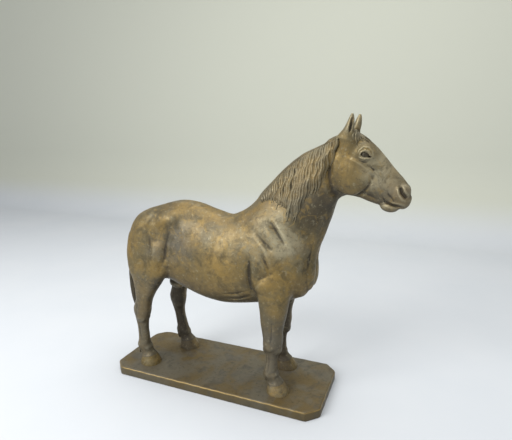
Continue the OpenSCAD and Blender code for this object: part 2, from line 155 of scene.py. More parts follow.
class Clay:
    """A block of clay: the distance to the surface at each point of a grid, below zero inside."""

    def __init__(self, low, high, step):
        self.low, self.step = np.array(low, float), step
        self.axes = [np.arange(a, b + step, step, dtype=np.float32) for a, b in zip(low, high)]
        self.value = np.full([len(axis) for axis in self.axes], FAR, np.float32)

    def window(self, low, high):
        """The grid's part between two corners, as slices and x, y, z that broadcast, or None."""
        cut = []
        for axis, a, b in zip(self.axes, low, high):
            i, j = np.searchsorted(axis, (a, b))
            if i >= j:
                return None
            cut.append(slice(i, j))
        x, y, z = (axis[s] for axis, s in zip(self.axes, cut))
        return tuple(cut), x[:, None, None], y[None, :, None], z[None, None, :]

    def side_window(self, low, high, side):
        """window() for a shape that is given on the side where y is above 0: side is 0 for a pair,
        1 for the left or -1 for the right. y comes back measured outwards from the midline."""
        reach = (-high[1], high[1]) if side == 0 else sorted((side * low[1], side * high[1]))
        found = self.window((low[0], reach[0], low[2]), (high[0], reach[1], high[2]))
        if found is None:
            return None
        cut, x, y, z = found
        return cut, x, (np.abs(y) if side == 0 else y * side), z

    def join(self, cut, d, blend, carve=False):
        """Adds a shape's distances to the clay, or carves the shape out of it."""
        old = self.value[cut]
        if carve:
            self.value[cut] = -smooth_min(-old, d, blend)
        else:
            self.value[cut] = smooth_min(old, d, blend)

    def ball(self, at, size, blend=8.0, tilt=0.0, side=0, carve=False):
        """An ellipsoid, turned by tilt degrees in the side view, nose up."""
        reach = max(size) + blend + 2
        at = np.array(at, np.float32)
        found = self.side_window(at - reach, at + reach, side)
        if found is None:
            return
        cut, x, y, z = found
        c, s = math.cos(math.radians(tilt)), math.sin(math.radians(tilt))
        u = (x - at[0]) * c + (z - at[2]) * s
        w = (z - at[2]) * c - (x - at[0]) * s
        v = y - at[1]
        a, b, h = size
        k0 = np.sqrt((u / a)**2 + (w / h)**2 + (v / b)**2) + 1e-4
        k1 = np.sqrt((u / a**2)**2 + (w / h**2)**2 + (v / b**2)**2) + 1e-4
        self.join(cut, k0 * (k0 - 1) / k1, blend, carve)

    def loft(self, rows, blend=8.0, side=0, pear=0.0, square=2.0, cap=0.5):
        """A body through side-view sections. pear widens the lower side, square above 2 flattens the
        sides, and cap is how far its ends bulge, as a share of their size."""
        rows = np.array(rows, float)
        reach = blend + 10
        xs, zs, ys = rows[:, [0, 2]], rows[:, [1, 3]], rows[:, 5]
        most = (rows[:, 4] * (1 + abs(pear)) + ys).max() + reach
        least = (ys - rows[:, 4] * (1 + abs(pear))).min() - reach
        found = self.side_window((xs.min() - reach, least, zs.min() - reach),
                                 (xs.max() + reach, most, zs.max() + reach), side)
        if found is None:
            return
        cut, x, y, z = found
        fine = through(rows, 6)
        middle = np.stack([fine[:, 0] + fine[:, 2], fine[:, 1] + fine[:, 3]], 1) / 2
        half = np.stack([fine[:, 0] - fine[:, 2], fine[:, 1] - fine[:, 3]], 1) / 2
        length = np.linalg.norm(half, axis=1)
        up = half / length[:, None]
        ahead = np.stack([up[:, 1], -up[:, 0]], 1)
        if (ahead[0] @ (middle[1] - middle[0])) < 0:
            ahead = -ahead
        px, pz = x[:, 0, :], z[:, 0, :]
        past = np.stack([(px - m[0]) * n[0] + (pz - m[1]) * n[1] for m, n in zip(middle, ahead)])
        count = (past > 0).sum(0)
        last = len(fine) - 1
        i = np.clip(count - 1, 0, last - 1)
        near = np.take_along_axis(past, i[None], 0)[0]
        far = np.take_along_axis(past, i[None] + 1, 0)[0]
        t = np.clip(near / np.where(np.abs(near - far) < 1e-6, 1e-6, near - far), 0, 1)

        def mixed(column):
            return (column[i] * (1 - t) + column[i + 1] * t).astype(np.float32)

        mx, mz, ux, uz = mixed(middle[:, 0]), mixed(middle[:, 1]), mixed(up[:, 0]), mixed(up[:, 1])
        h = np.maximum(mixed(length), 0.5)
        s = ((px - mx) * ux + (pz - mz) * uz) / h
        w = np.maximum(mixed(fine[:, 4]), 0.5) * (1 - pear * np.clip(s, -1, 1))
        over = np.where(count == 0, -past[0], np.where(count == last + 1, past[last], 0))
        over = np.maximum(over, 0).astype(np.float32)
        round_end = np.maximum(np.minimum(h, w) * cap, 0.5)
        s, w, h, over, round_end, yc = (a[:, None, :] for a in (
            s, w, h, over, round_end, mixed(fine[:, 5])))
        v = np.abs(y - yc) / w
        flat = s**2 + (over / round_end)**2
        if square == 2:
            k0 = np.sqrt(flat + v**2) + 1e-4
        else:
            k0 = (flat**(square / 2) + v**square)**(1 / square) + 1e-4
        k1 = np.sqrt((s / h)**2 + (over / round_end**2)**2 + (v / w)**2) + 1e-4
        self.join(cut, (k0 * (k0 - 1) / k1).astype(np.float32), blend)

    def rope(self, points, radii, blend=1.0, side=0, carve=False):
        """A round strand along points (x, y, z), with a radius at each."""
        points = np.array(points, np.float32)
        radii = np.array(radii, np.float32)
        reach = radii.max() + blend + 2
        found = self.side_window(points.min(0) - reach, points.max(0) + reach, side)
        if found is None:
            return
        cut, x, y, z = found
        d = np.full(self.value[cut].shape, FAR, np.float32)
        ax = [x.ravel(), y.ravel(), z.ravel()]
        for a, b, ra, rb in zip(points[:-1], points[1:], radii[:-1], radii[1:]):
            low, high = np.minimum(a, b) - reach, np.maximum(a, b) + reach
            part = [slice(*np.searchsorted(q, (lo, hi))) for q, lo, hi in zip(ax, low, high)]
            if side != 1:
                # y rises along the grid only where the left side alone is worked on
                part[1] = slice(0, len(ax[1]))
            part = tuple(part)
            px, py, pz = (q[kept] - start for q, kept, start in zip(ax, part, a))
            px, py, pz = px[:, None, None], py[None, :, None], pz[None, None, :]
            e = b - a
            t = np.clip((px * e[0] + py * e[1] + pz * e[2]) / max(e @ e, 1e-6), 0, 1)
            gap = np.sqrt((px - t * e[0])**2 + (py - t * e[1])**2 + (pz - t * e[2])**2)
            d[part] = np.minimum(d[part], gap - (ra + (rb - ra) * t))
        self.join(cut, d, blend, carve)

    def stroke(self, line, width, depth, inner=4.0, plane="side"):
        """A groove, or a ridge where depth is below zero, along a line in the side view (x, z),
        the front view (y, z) or the top view (x, y). It fades towards both ends, and in the side
        view it starts `inner` mm from the midline."""
        line = np.array(line, np.float32)
        reach = width * 2.6
        lo, hi = line.min(0) - reach, line.max(0) + reach
        # a line in the front view marks only the breast, and one in the top view only the back
        low, high = {
            "side": ((lo[0], 0, lo[1]), (hi[0], 70, hi[1])),
            "front": ((60, lo[0], lo[1]), (170, hi[0], hi[1])),
            "top": ((lo[0], lo[1], 230), (hi[0], hi[1], 400))}[plane]
        found = self.side_window(low, high, 0)
        if found is None:
            return
        cut, x, y, z = found
        p, q = {"side": (x, z), "front": (y, z), "top": (x, y)}[plane]
        lengths = np.linalg.norm(np.diff(line, axis=0), axis=1)
        starts = np.concatenate([[0], np.cumsum(lengths)])
        best = None
        for a, b, start, length in zip(line[:-1], line[1:], starts, lengths):
            e = b - a
            t = np.clip(((p - a[0]) * e[0] + (q - a[1]) * e[1]) / (length * length), 0, 1)
            gap = (p - a[0] - t * e[0])**2 + (q - a[1] - t * e[1])**2
            along = (start + t * length) / starts[-1]
            if best is None:
                best, place = gap, along
            else:
                place = np.where(gap < best, along, place)
                best = np.minimum(gap, best)
        fade = np.sqrt(np.clip(np.sin(np.pi * np.clip(place, 0.02, 0.98)), 0, 1))
        mark = depth * fade * np.exp(-best / width**2)
        if plane == "side":
            mark = mark * np.clip((y - inner) / 5, 0, 1)
        self.value[cut] += mark.astype(np.float32)

    def sample(self, points):
        """The distance at any points, from the grid points round them."""
        g = np.clip((points - self.low) / self.step, 0, np.array(self.value.shape) - 1.001)
        i = g.astype(int)
        f = g - i
        out = 0
        for dx in (0, 1):
            for dy in (0, 1):
                for dz in (0, 1):
                    weight = np.abs(1 - dx - f[:, 0]) * np.abs(1 - dy - f[:, 1]) * np.abs(1 - dz - f[:, 2])
                    out = out + weight * self.value[i[:, 0] + dx, i[:, 1] + dy, i[:, 2] + dz]
        return out

    def slope(self, points):
        """The direction straight out of the surface, at any points."""
        h = self.step
        out = [self.sample(points + h * e) - self.sample(points - h * e) for e in np.eye(3)]
        out = np.stack(out, 1) / (2 * h)
        return out / np.maximum(np.linalg.norm(out, axis=1, keepdims=True), 1e-6)

    def skin(self):
        """A mesh of four-sided faces where the distance is zero."""
        v = self.value
        inside = v < 0
        corners = [(dx, dy, dz) for dx in (0, 1) for dy in (0, 1) for dz in (0, 1)]
        n = np.array(v.shape) - 1

        def shifted(a, d):
            return a[d[0]:d[0] + n[0], d[1]:d[1] + n[1], d[2]:d[2] + n[2]]

        total = sum(shifted(inside, d).astype(np.int8) for d in corners)
        cells = np.argwhere((total > 0) & (total < 8))
        number = np.full(n, -1, np.int64)
        number[tuple(cells.T)] = np.arange(len(cells))
        at = {d: v[cells[:, 0] + d[0], cells[:, 1] + d[1], cells[:, 2] + d[2]] for d in corners}
        place, hits = np.zeros((len(cells), 3)), np.zeros(len(cells))
        for a in corners:
            for axis in range(3):
                if a[axis]:
                    continue
                b = tuple(1 if i == axis else a[i] for i in range(3))
                cross = (at[a] < 0) != (at[b] < 0)
                t = at[a] / np.where(cross, at[a] - at[b], 1)
                p = np.tile(np.array(a, float), (len(cells), 1))
                p[:, axis] = t
                place += np.where(cross[:, None], p, 0)
                hits += cross
        points = self.low + self.step * (cells + place / hits[:, None])
        faces = []
        for axis in range(3):
            one = [slice(None)] * 3
            two = [slice(None)] * 3
            one[axis], two[axis] = slice(0, -1), slice(1, None)
            low, high = inside[tuple(one)], inside[tuple(two)]
            b, c = (axis + 1) % 3, (axis + 2) % 3
            edges = np.argwhere(low != high)
            edges = edges[(edges[:, b] > 0) & (edges[:, c] > 0) & (edges[:, b] < n[b]) & (edges[:, c] < n[c])]
            flip = high[tuple(edges.T)]
            quad = []
            for db, dc in ((1, 1), (0, 1), (0, 0), (1, 0)):
                cell = edges.copy()
                cell[:, b] -= db
                cell[:, c] -= dc
                quad.append(number[tuple(cell.T)])
            quad = np.stack(quad, 1)
            quad[flip] = quad[flip][:, ::-1]
            faces.append(quad)
        faces = np.concatenate(faces)
        faces = faces[(faces >= 0).all(1)]
        for _ in range(2):
            points = points - self.slope(points) * np.clip(self.sample(points), -1, 1)[:, None]
        return points, faces


def noise(clay, size, amount, seed):
    """Adds a smooth, even unevenness to the surface."""
    dice = np.random.default_rng(seed)
    spots = dice.uniform(-1, 1, (64, 32, 64)).astype(np.float32)
    pieces = []
    for axis, many in zip(clay.axes, spots.shape):
        g = (axis / size + 500) % many
        i = g.astype(int) % many
        f = g - np.floor(g)
        pieces.append((i, (i + 1) % many, f * f * (3 - 2 * f)))
    (x0, x1, fx), (y0, y1, fy), (z0, z1, fz) = pieces
    a = spots[x0] * (1 - fx)[:, None, None] + spots[x1] * fx[:, None, None]
    a = a[:, y0] * (1 - fy)[None, :, None] + a[:, y1] * fy[None, :, None]
    a = a[:, :, z0] * (1 - fz) + a[:, :, z1] * fz
    clay.value += amount * a


# ---------- the horse ----------

def sculpt_horse(clay):
    """Builds the whole horse, without its hair, in a block of clay that may hold only a part of it."""
    clay.loft(TRUNK_ROWS, blend=1, pear=0.1, square=2.15, cap=0.3)
    clay.loft(NECK_ROWS, blend=16, pear=0.12, square=2.0)
    sculpt_quarters(clay)
    sculpt_legs(clay)
    sculpt_head(clay)
    noise(clay, 17.0, 0.35, 3)
    noise(clay, 6.5, 0.16, 5)
    return clay


def sculpt_quarters(clay):
    """Fore and hind quarters, ribs, belly and the muscles of the neck."""
    # shoulder blade, point of the shoulder, breast, upper arm and elbow
    clay.ball((93, 22, 236), (24, 16, 46), 14, tilt=32)
    clay.ball((121, 24, 203), (17, 13, 20), 10)
    clay.ball((127.5, 11, 194), (16.5, 14, 27), 14, tilt=8)
    clay.ball((84, 31, 204), (20, 13, 27), 9, tilt=-14)
    clay.ball((85, 38, 180.5), (15.5, 9.5, 13), 4)
    # croup, thigh, stifle and point of the hip
    clay.ball((-104, 21, 249), (37, 20, 24), 12, tilt=14)
    clay.ball((-119, 29, 210), (29, 16.5, 42), 10, tilt=6)
    clay.ball((-93, 34, 198), (17, 13, 27), 8, tilt=-8)
    clay.ball((-136.5, 19, 204), (14, 14, 31), 9, tilt=6)
    clay.ball((-69, 27, 260), (12, 9, 9), 16)
    clay.ball((-60, 56, 224), (13, 12, 30), 14, tilt=-12, carve=True)
    # sheath
    clay.ball((-84, 0, 149), (13, 8, 9), 6, tilt=-10)
    # breast groove, belly line, spine and croup grooves
    clay.stroke([(0, 238), (0, 215), (0, 190), (0, 165), (0, 150)], 3.4, 2.0, plane="front")
    clay.stroke([(-150, 0), (-120, 0), (-90, 0), (-55, 0)], 5, 1.6, plane="top")
    for line, width, depth in (
            # blade of the shoulder: grooves between its muscles, and the muscles themselves
            ([(89, 271), (99, 257.5), (113, 239)], 3.4, 2.7),
            ([(70, 254), (83, 243), (97, 232)], 3.8, 2.5),
            ([(80, 228), (88, 213.5), (96, 198)], 3.6, 2.4),
            ([(80, 266), (91, 254), (104, 239)], 4.5, -0.8),
            ([(76, 240), (87, 229), (98, 215)], 4.5, -0.8),
            ([(97, 272), (109, 257), (121, 240), (124, 224)], 5.5, -1.2),
            ([(66, 240), (71, 222), (73, 204)], 5.5, -0.9),
            # front edge of the shoulder and the groove before it
            ([(85, 284), (104, 276), (120, 264), (129, 253), (134, 236), (133, 216), (127, 196)], 5.5, -0.7),
            ([(114, 283), (129, 270), (139, 254), (143, 236), (142, 215), (136, 197)], 5.0, 1.1),
            # behind the upper arm, round the elbow, and the folds of skin behind it
            ([(63, 218), (62.5, 205), (62.5, 190), (64, 169)], 3.8, 3.0),
            ([(70, 181), (79, 191), (88.5, 197), (102, 203)], 3.2, 2.2),
            ([(66, 172), (76, 165), (89, 165.5), (109, 176)], 3.0, 2.4),
            ([(60, 160), (44, 153.5), (22, 151)], 1.8, 1.7),
            ([(57, 169), (42, 163), (20, 160)], 1.8, 1.1),
            # forearm muscles below the elbow
            ([(98, 164), (97, 150), (98, 134)], 3.0, 1.6),
            # ribs
            ([(36, 252), (31, 225), (26, 196)], 5.0, 0.7),
            ([(17, 254), (10, 225), (4, 192)], 5.0, 0.7),
            ([(-3, 256), (-12, 225), (-19, 190)], 5.0, 0.7),
            ([(-23, 256), (-33, 225), (-40, 196)], 5.0, 0.6),
            # flank fold, thigh and buttock
            ([(-66, 246), (-73, 226), (-77, 204), (-84, 184), (-96, 170)], 4.0, 2.6),
            ([(-101, 240), (-99, 222), (-97, 204), (-98, 186)], 3.6, 2.0),
            ([(-124, 258), (-131, 242), (-134, 222), (-131, 200)], 4.5, 1.0),
            ([(-84, 266), (-96, 256), (-104, 240)], 5.0, 1.2)):
        clay.stroke(line, width, depth, inner=12)
    # jugular groove and the muscle along the lower neck
    clay.stroke([(163, 305), (154, 286), (145, 266), (137, 246)], 5.5, 1.4, inner=4)
    clay.stroke([(165, 290), (156, 264), (150, 242), (146, 222)], 2.6, 0.9, inner=2)


def sculpt_legs(clay):
    for side, fore, hind in ((-1, FORELEG_ROWS, HINDLEG_ROWS), (1, LEFT_FORELEG_ROWS, LEFT_HINDLEG_ROWS)):
        clay.loft(fore, blend=6, side=side, square=2.3)
        clay.loft(hind, blend=6, side=side, square=2.3)
        leg_details(clay, fore, side, True)
        leg_details(clay, hind, side, False)


def across(rows, z):
    """Front x, rear x, half width and middle y of a leg at a height."""
    rows = np.array(sorted(rows, key=lambda row: (row[1] + row[3]) / 2), float)
    heights = (rows[:, 1] + rows[:, 3]) / 2
    return [float(np.interp(z, heights, rows[:, n])) for n in (0, 2, 4, 5)]


def leg_details(clay, rows, side, fore):
    """Knee or hock, tendons, fetlock with its tuft, coronet and hoof of one leg."""

    def at(z, along, out):
        """A point at height z: along 0 is the front line and 1 the rear; out 1 is the outer side."""
        front, rear, half, middle = across(rows, z)
        return front + (rear - front) * along, middle + out * half, z

    def lump(z, along, out, size):
        clay.ball(at(z, along, out), size, 3.0, side=side)

    def line(heights, along, out, width):
        path = [at(z, a, out) for z, a in zip(heights, along)]
        clay.rope(path, [width * share for share in (0.35, 1.0, 1.0, 0.35)], 1.6, side=side, carve=True)

    if fore:
        lump(84, 0.18, 0.0, (6.5, 8.0, 8.0))
        lump(81, 0.92, 0.1, (4.0, 4.5, 5.5))
        lump(88, 0.5, 0.75, (5.0, 3.4, 5.0))
        lump(88, 0.5, -0.75, (5.0, 3.4, 5.0))
        for out in (1.04, -1.04):
            line((128, 118, 106, 95), (0.42, 0.42, 0.44, 0.5), out, 1.5)
            line((77, 68, 58, 48), (0.62, 0.62, 0.62, 0.6), out, 1.5)
    else:
        lump(104, 0.86, 0.0, (5.5, 5.0, 7.5))
        lump(96, 0.4, 0.8, (6.0, 3.2, 6.5))
        lump(96, 0.4, -0.8, (6.0, 3.2, 6.5))
        for out in (1.04, -1.04):
            line((126, 120, 112, 104), (0.7, 0.68, 0.66, 0.66), out, 1.7)
            line((86, 76, 62, 50), (0.62, 0.6, 0.6, 0.58), out, 1.5)
    lump(42, 0.22, 0.0, (6.0, 8.0, 6.0))
    lump(39, 0.98, 0.0, (4.6, 5.0, 6.0))
    for out in (-0.6, 0.0, 0.6):
        tuft = [at(41, 0.86, out), at(35, 1.04, out), at(29, 1.12, out * 0.6)]
        clay.rope(tuft, (1.2, 1.6, 0.6), 1.4, side=side)
    # the hoof flares towards the ground under its coronet
    wall = []
    for z, flare in ((10, 2.6), (17, 2.0), (24, 1.4), (29.5, 0.9)):
        front, rear, half, middle = across(rows, z)
        wall.append((front + flare * 0.9, z, rear - flare * 0.7, z, half + flare, middle))
    clay.loft(wall, blend=0.8, side=side, square=2.2, cap=0.15)
    if fore:
        for out in (-0.2, 0.2):
            crack = [at(29, -0.1, out), at(22, -0.14, out), at(15, -0.18, out)]
            clay.rope(crack, (0.7, 0.9, 0.9), 0.8, side=side, carve=True)


def sculpt_head(clay):
    """Head and ears, down to the lids, nostrils and lips."""
    clay.loft(HEAD_ROWS, blend=5, pear=-0.12, square=2.2)
    # cheek, brow and the hollows of the temple and the nose
    clay.ball((188, 11, 330), (22.5, 6.4, 23.5), 2.5)
    clay.ball((202, 10.5, 357.5), (13, 7.5, 9.5), 7, tilt=-25)
    clay.ball((189, 20.5, 367), (5, 4.5, 5), 6, tilt=-40, carve=True)
    clay.ball((226, 17.5, 325), (13, 5.5, 7), 8, tilt=-48, carve=True)
    # muzzle: nostril wing, upper lip, lower lip and chin
    clay.ball((250, 7.5, 312), (7, 4.2, 8.5), 6, tilt=-30)
    clay.ball((250, 3.5, 301), (8.5, 7.5, 9), 4)
    clay.ball((235, 3, 293.5), (11, 7, 6.2), 3.5, tilt=-8)
    # eye opening, with its corner drawn out to the front
    clay.ball((202.6, 19, 355.8), (5.3, 5.5, 3.0), 1.0, tilt=-12, carve=True)
    clay.ball((207.6, 18.6, 353.6), (3.0, 5.5, 1.3), 0.8, tilt=-20, carve=True)
    for line, width, depth in (
            # lids, and the fold over the eye
            ([(195.6, 354), (198, 359), (202.5, 361.2), (206.8, 359.6), (209.6, 355)], 1.1, -1.1),
            ([(193.4, 355), (195.4, 361.2), (200.5, 365), (206.4, 364), (211, 359.6), (212.4, 353)],
             1.2, -0.7),
            ([(195, 353), (201.8, 350.6), (207.5, 351.4), (211, 352.5)], 1.0, -0.9),
            ([(196, 349.4), (202, 347.2), (208, 348)], 1.2, 0.5),
            # facial crest, the dent over it, and the edge of the cheek
            ([(184, 351), (192, 347.6), (200, 343.4), (209, 337.4), (216, 332.6)], 2.8, -1.5),
            ([(209.6, 342), (215, 336.6)], 1.5, 0.9),
            ([(214, 334), (211.5, 324), (205, 314), (196, 306)], 4.0, 1.5),
            ([(201, 311.6), (213, 306.6), (224, 300.6)], 2.4, 1.1),
            ([(163, 363), (160.5, 346), (160.5, 328), (165, 311), (175, 302)], 4.6, 3.6),
            # nostril, its rims, mouth, lips and the wrinkles of the muzzle
            ([(245.6, 319), (248.4, 312), (254.6, 305.4)], 2.0, 4.4),
            ([(226.5, 306), (230, 300.4), (239, 296.6), (251, 295)], 1.2, 2.3),
            ([(243, 318), (244.8, 310.5), (250, 303.6), (255, 302)], 1.7, -0.7),
            ([(249.5, 320), (252.5, 314), (256.5, 308.5)], 1.3, -0.3),
            ([(231, 311), (237, 306), (241, 300)], 1.6, 0.8),
            ([(225, 318), (232, 312), (236, 306)], 1.8, 0.6),
            ([(236, 299.6), (244, 298.8), (251, 298.4)], 1.4, -0.5),
            ([(229, 297), (237, 293.4), (247, 292)], 1.5, -0.4),
            # veins on the side of the face
            ([(206, 334), (214, 323), (221, 318), (229, 317)], 1.4, -0.35),
            ([(214, 323), (213, 314), (218, 307)], 1.4, -0.3)):
        clay.stroke(line, width, depth, inner=3)
    # root of the ears, the ears and their openings
    clay.ball((180, 8.5, 369), (13, 7.5, 10), 7, tilt=-30)
    clay.loft(EAR_ROWS, blend=6, side=-1)
    clay.loft(LEFT_EAR_ROWS, blend=6, side=1)
    for side, ahead in ((-1, 0), (1, 5)):
        clay.ball((183.8 + ahead, 17.2, 390.5), (1.9, 3.6, 9.5), 1.2, tilt=-8, side=side, carve=True)


# ---------- pieces ----------

def half_plane(line, keep_above):
    """(point, normal out of the kept part) for a cut along a side-view line."""
    (x1, z1), (x2, z2) = line
    normal = Vector((z1 - z2, 0, x2 - x1)).normalized()
    return Vector(((x1 + x2) / 2, 0, (z1 + z2) / 2)), (-normal if keep_above else normal)


def level(z, keep_above):
    """half_plane() for a level cut."""
    return Vector((0, 0, z)), Vector((0, 0, -1 if keep_above else 1))


def piece_from(clay, name, cuts, replaced, material):
    """Turns clay into a closed piece, cut flat along planes, with the clay's own shading."""
    points, faces = clay.skin()
    mesh = bpy.data.meshes.new(name)
    mesh.vertices.add(len(points))
    mesh.vertices.foreach_set("co", points.ravel())
    mesh.loops.add(faces.size)
    mesh.loops.foreach_set("vertex_index", faces.ravel())
    mesh.polygons.add(len(faces))
    mesh.polygons.foreach_set("loop_start", np.arange(len(faces)) * 4)
    mesh.update(calc_edges=True)
    bm = bmesh.new()
    bm.from_mesh(mesh)
    lids = []
    for at, normal in cuts:
        bmesh.ops.bisect_plane(bm, geom=bm.verts[:] + bm.edges[:] + bm.faces[:], dist=1e-4,
                               plane_co=at, plane_no=normal, clear_outer=True)
        rim = [e for e in bm.edges if e.is_boundary and all(
            abs((v.co - at).dot(normal)) < 1e-2 for v in e.verts)]
        if rim:
            lid = bmesh.ops.holes_fill(bm, edges=rim, sides=0)["faces"]
            lid = bmesh.ops.triangulate(bm, faces=lid)["faces"]
            lids.append((lid, normal))
    layer = bm.verts.layers.int.new("lid")
    for n, (lid, normal) in enumerate(lids):
        split = bmesh.ops.split(bm, geom=[f for f in lid if f.is_valid])["geom"]
        for f in split:
            if isinstance(f, bmesh.types.BMFace):
                if f.normal.dot(normal) < 0:
                    f.normal_flip()
                for v in f.verts:
                    v[layer] = n + 1
    bm.to_mesh(mesh)
    bm.free()
    co = np.zeros(len(mesh.vertices) * 3)
    mesh.vertices.foreach_get("co", co)
    co = co.reshape(-1, 3)
    on_lid = np.zeros(len(co), np.int32)
    mesh.attributes["lid"].data.foreach_get("value", on_lid)
    normals = clay.slope(co)
    for n, (_, normal) in enumerate(lids):
        normals[on_lid == n + 1] = normal
    around = [np.array((a, b, c)) / math.sqrt(3) for a in (-1, 1) for b in (-1, 1) for c in (-1, 1)]
    for label, depth, gain in (("hollow", 2.0, 4.0), ("dip", 6.0, 3.0)):
        # the surface is hollow where more than half of a small ball round the point is metal
        out = sum(np.clip(clay.sample(co + depth * d), -depth, depth) for d in around) / len(around)
        layer = mesh.attributes.new(label, "FLOAT", "POINT")
        value = np.clip(-gain * out / depth, -0.5, 1).astype(np.float32)
        value[on_lid > 0] = 0
        layer.data.foreach_set("value", value)
    mesh.attributes.remove(mesh.attributes["lid"])
    mesh.vertices.foreach_set("co", (co * MM).ravel())
    mesh.polygons.foreach_set("use_smooth", np.ones(len(mesh.polygons), bool))
    mesh.update()
    mesh.normals_split_custom_set_from_vertices(normals)
    mesh.materials.append(material)
    piece = bpy.data.objects.new(name, mesh)
    bpy.context.scene.collection.objects.link(piece)
    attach(piece, "root")
    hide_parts(*replaced)


# ---------- hair ----------

def outline_distance(x, z, corners):
    """Side-view distance to a closed outline, below zero inside."""
    corners = np.array(corners, np.float32)
    gap = np.full(np.broadcast(x, z).shape, 1e6, np.float32)
    inside = np.zeros(gap.shape, bool)
    for a, b in zip(corners, np.roll(corners, -1, 0)):
        e = b - a
        t = np.clip(((x - a[0]) * e[0] + (z - a[1]) * e[1]) / (e @ e), 0, 1)
        gap = np.minimum(gap, (x - a[0] - t * e[0])**2 + (z - a[1] - t * e[1])**2)
        if a[1] != b[1]:
            crossing = ((a[1] > z) != (b[1] > z)) & (x < (b[0] - a[0]) * (z - a[1]) / (b[1] - a[1]) + a[0])
            inside = inside ^ crossing
    return np.where(inside, -1, 1) * np.sqrt(gap)


def on_flank(horse, points, out):
    """Side-view points (x, z) laid on the horse's right side, `out` mm above its surface."""
    low, high = np.zeros(len(points)), np.full(len(points), 46.0)
    for _ in range(22):
        y = (low + high) / 2
        f = horse.sample(np.stack([points[:, 0], -y, points[:, 1]], 1)) - out
        low, high = np.where(f < 0, y, low), np.where(f < 0, high, y)
    return np.stack([points[:, 0], low, points[:, 1]], 1)


# Where the mane's guide locks leave the crest, and where they end, in the side view.
MANE_GUIDES = [
    ((69, 304.5), (71, 291)), ((78, 313.5), (77, 293)), ((90, 325.5), (85, 293)), ((106, 339), (98.5, 286)),
    ((120, 350.5), (109.5, 279)), ((131, 357.5), (118.5, 265)), ((141, 362.5), (131, 287)),
    ((152, 367.5), (147, 307)), ((161, 372), (157, 328)), ((170, 377), (165, 351))]
# The outline of the hair that lies flat under the locks, open above the crest.
MANE_PATCH = [
    (52, 300), (78, 328), (100, 350), (124, 368), (146, 380), (168, 390), (167.5, 374), (161.5, 354),
    (153, 333), (143, 313), (130, 294), (119, 275), (109, 285), (97, 291), (84, 297), (72, 299), (60, 292)]


def comb_mane(clay, horse, seed):
    """Three layers of wavy locks over a flat sheet of hair, on the right side of the neck."""
    dice = np.random.default_rng(seed)
    locks = sizes().mane_locks
    sunk, wave_length = 2.2, 21
    guides = np.array(MANE_GUIDES, float).reshape(len(MANE_GUIDES), 4)
    x, z = clay.axes[0][:, None], clay.axes[2][None, :]
    patch = outline_distance(x, z, MANE_PATCH)[:, None, :]
    y = clay.axes[1][None, :, None]
    slab = 2.0 * np.clip(-patch / 7, 0, 1) * np.clip((3 - y) / 6, 0, 1) - 0.5
    clay.value = np.maximum(np.maximum(horse.value - slab, patch), y - 2).astype(np.float32)
    for layer, (reach, out, thick) in enumerate(((1.0, 0.6, 2.4), (0.93, 1.5, 2.0), (0.6, 2.0, 1.6))):
        for i in range(locks):
            place = (i + 0.5 * (layer % 2) + dice.uniform(-0.22, 0.22)) / locks * (len(guides) - 1)
            place = min(max(place, 0), len(guides) - 1.001)
            n = int(place)
            g = guides[n] + (guides[n + 1] - guides[n]) * (place - n)
            v = np.linspace(0, 1, 13)
            length = reach * dice.uniform(0.86, 1.06)
            turns = v * length * abs(g[1] - g[3]) / wave_length + 0.11 * place + 0.2 * dice.uniform()
            drop = math.hypot(g[2] - g[0], g[3] - g[1])
            wave = 1.25 * np.sin(2 * np.pi * turns) * min(1, drop / 30) * (1 - 0.7 * v**3)
            px = g[0] + (g[2] - g[0]) * v * length + wave * np.minimum(1, v * 4)
            pz = g[1] - sunk + (g[3] - g[1] + sunk) * v * length
            lift = out * (1 - 0.9 * v**4) + 0.4 * min(1, drop / 30) * np.cos(v * 9 + place)
            path = on_flank(horse, np.stack([px, pz], 1), lift)
            radii = thick * dice.uniform(0.85, 1.1) * np.clip(1.08 - v**4, 0.25, 1)
            radii = radii * np.clip(0.6 + v * 3, 0, 1) * min(1, 0.4 + drop / 40)
            clay.rope(path, radii, 0.5, side=-1)
    clay.value = np.maximum(clay.value, -(horse.value + sunk))
    return clay


def comb_forelock(clay, horse, seed):
    """Locks that fan out over the forehead from between the ears."""
    dice = np.random.default_rng(seed)
    for i in range(27):
        a = (i - 13) / 11
        v = np.linspace(0, 1, 9)
        length = 1.15 - 0.3 * abs(a) + dice.uniform(-0.12, 0.12)
        px = 178 + (26 - 8 * abs(a)) * v * length
        pz = 386 - (14 + 8 * abs(a)) * v * length
        py = a * (3.6 + 12 * v) + 0.8 * np.sin(v * 8 + i)
        path = np.stack([px, py, pz], 1)
        for _ in range(4):
            path = path - horse.slope(path) * (horse.sample(path) - 0.2)[:, None]
        clay.rope(path, 1.5 * np.clip(1.08 - v**2, 0.2, 1), 0.5, side=1)
    clay.value = np.maximum(clay.value, -(horse.value + 1.6))
    return clay


